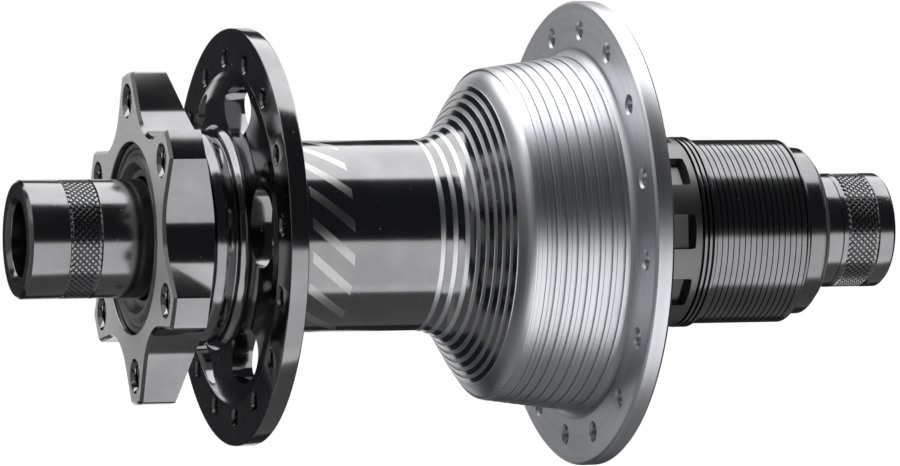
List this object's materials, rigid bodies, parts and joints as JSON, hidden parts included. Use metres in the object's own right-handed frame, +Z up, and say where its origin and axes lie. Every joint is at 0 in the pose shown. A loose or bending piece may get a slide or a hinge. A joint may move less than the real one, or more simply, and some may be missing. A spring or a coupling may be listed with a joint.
{
  "type": "rear bicycle hub",
  "caption": "Rear bicycle hub with disc mount, dished left flange, large drive-side drum and flange, threaded cassette driver and pull-off end caps.",
  "frame": {"origin": "on the hub's axis, midway between the two end faces that the dropouts clamp", "axes": "+X along the hub's axis towards the drive side, +Z up in the bicycle, -Y towards the viewer of the pictured side"},
  "size_m": [0.148, 0.0764, 0.0764],
  "materials": {
    "shell_alloy": "gloss black anodised",
    "black_alloy": "satin black anodised",
    "silver_alloy": "turned, with fine grooves round the drum",
    "bearing_steel": "ground bearing steel",
    "tool_steel": "turned and hardened",
    "seal_rubber": "matt"
  },
  "bodies": {
    "axle": {"axle": "tool_steel", "bearing_spacer": "tool_steel", "driver_spacer": "silver_alloy", "bearing_left_inner_race": "bearing_steel", "bearing_right_inner_race": "bearing_steel", "driver_bearing_inner_inner_race": "bearing_steel", "driver_bearing_outer_inner_race": "bearing_steel"},
    "cap_left": {"end_cap_left": "black_alloy", "o_ring_left": "seal_rubber"},
    "cap_right": {"end_cap_right": "black_alloy", "o_ring_right": "seal_rubber"},
    "shell": {"shell_disc_mount": "shell_alloy", "shell_neck": "shell_alloy", "shell_flange_left": "shell_alloy", "shell_barrel": "shell_alloy", "shell_drive_side": "silver_alloy", "bearing_left_outer_race": "bearing_steel", "bearing_right_outer_race": "bearing_steel", "ratchet_ring": "tool_steel", "dust_seal_left": "seal_rubber", "shell_seal_right": "seal_rubber"},
    "driver": {"driver_body": "black_alloy", "driver_bearing_inner_outer_race": "bearing_steel", "driver_bearing_outer_outer_race": "bearing_steel", "driver_seal": "seal_rubber", "snap_ring_driver": "tool_steel", "pawl_pin_1": "tool_steel", "pawl_pin_2": "tool_steel", "pawl_pin_3": "tool_steel"},
    "pawl_first": {"pawl_1": "tool_steel"},
    "pawl_second": {"pawl_2": "tool_steel"},
    "pawl_third": {"pawl_3": "tool_steel"},
    "balls_left": {"bearing_left_balls": "bearing_steel"},
    "balls_right": {"bearing_right_balls": "bearing_steel"},
    "balls_driver_inner": {"driver_bearing_inner_balls": "bearing_steel"},
    "balls_driver_outer": {"driver_bearing_outer_balls": "bearing_steel"}
  },
  "joints": [
    {"name": "shell_spin", "type": "hinge", "parent": "axle", "child": "shell", "pos_m": [-0.02, 0, 0], "axis": [1, 0, 0], "continuous": true},
    {"name": "driver_spin", "type": "hinge", "parent": "axle", "child": "driver", "pos_m": [0.034, 0, 0], "axis": [1, 0, 0], "continuous": true},
    {"name": "balls_left_orbit", "type": "hinge", "parent": "axle", "child": "balls_left", "pos_m": [-0.0487, 0, 0], "axis": [1, 0, 0], "continuous": true},
    {"name": "balls_right_orbit", "type": "hinge", "parent": "axle", "child": "balls_right", "pos_m": [0.0001, 0, 0], "axis": [1, 0, 0], "continuous": true},
    {"name": "balls_driver_inner_orbit", "type": "hinge", "parent": "axle", "child": "balls_driver_inner", "pos_m": [0.0085, 0, 0], "axis": [1, 0, 0], "continuous": true},
    {"name": "balls_driver_outer_orbit", "type": "hinge", "parent": "axle", "child": "balls_driver_outer", "pos_m": [0.0595, 0, 0], "axis": [1, 0, 0], "continuous": true},
    {"name": "pawl_first_lift", "type": "hinge", "parent": "driver", "child": "pawl_first", "pos_m": [0.0107, 0, 0.0168], "axis": [1, 0, 0], "range_deg": [0, 14], "stiffness_Nm_per_rad": 0.01, "springref_deg": -11.46},
    {"name": "pawl_second_lift", "type": "hinge", "parent": "driver", "child": "pawl_second", "pos_m": [0.0107, -0.01455, -0.0084], "axis": [1, 0, 0], "range_deg": [0, 14], "stiffness_Nm_per_rad": 0.01, "springref_deg": -11.46},
    {"name": "pawl_third_lift", "type": "hinge", "parent": "driver", "child": "pawl_third", "pos_m": [0.0107, 0.01455, -0.0084], "axis": [1, 0, 0], "range_deg": [0, 14], "stiffness_Nm_per_rad": 0.01, "springref_deg": -11.46},
    {"name": "cap_left_pull", "type": "slide", "parent": "axle", "child": "cap_left", "axis": [-1, 0, 0], "range_m": [0, 0.02]},
    {"name": "cap_right_pull", "type": "slide", "parent": "axle", "child": "cap_right", "axis": [1, 0, 0], "range_m": [0, 0.02]}
  ],
  "couplings": [
    {"joint": "balls_left_orbit", "follows": "shell_spin", "ratio": 0.6},
    {"joint": "balls_right_orbit", "follows": "shell_spin", "ratio": 0.6},
    {"joint": "balls_driver_inner_orbit", "follows": "driver_spin", "ratio": 0.56},
    {"joint": "balls_driver_outer_orbit", "follows": "driver_spin", "ratio": 0.56},
    {"joint": "pawl_second_lift", "follows": "pawl_first_lift", "ratio": 1},
    {"joint": "pawl_third_lift", "follows": "pawl_first_lift", "ratio": 1}
  ]
}
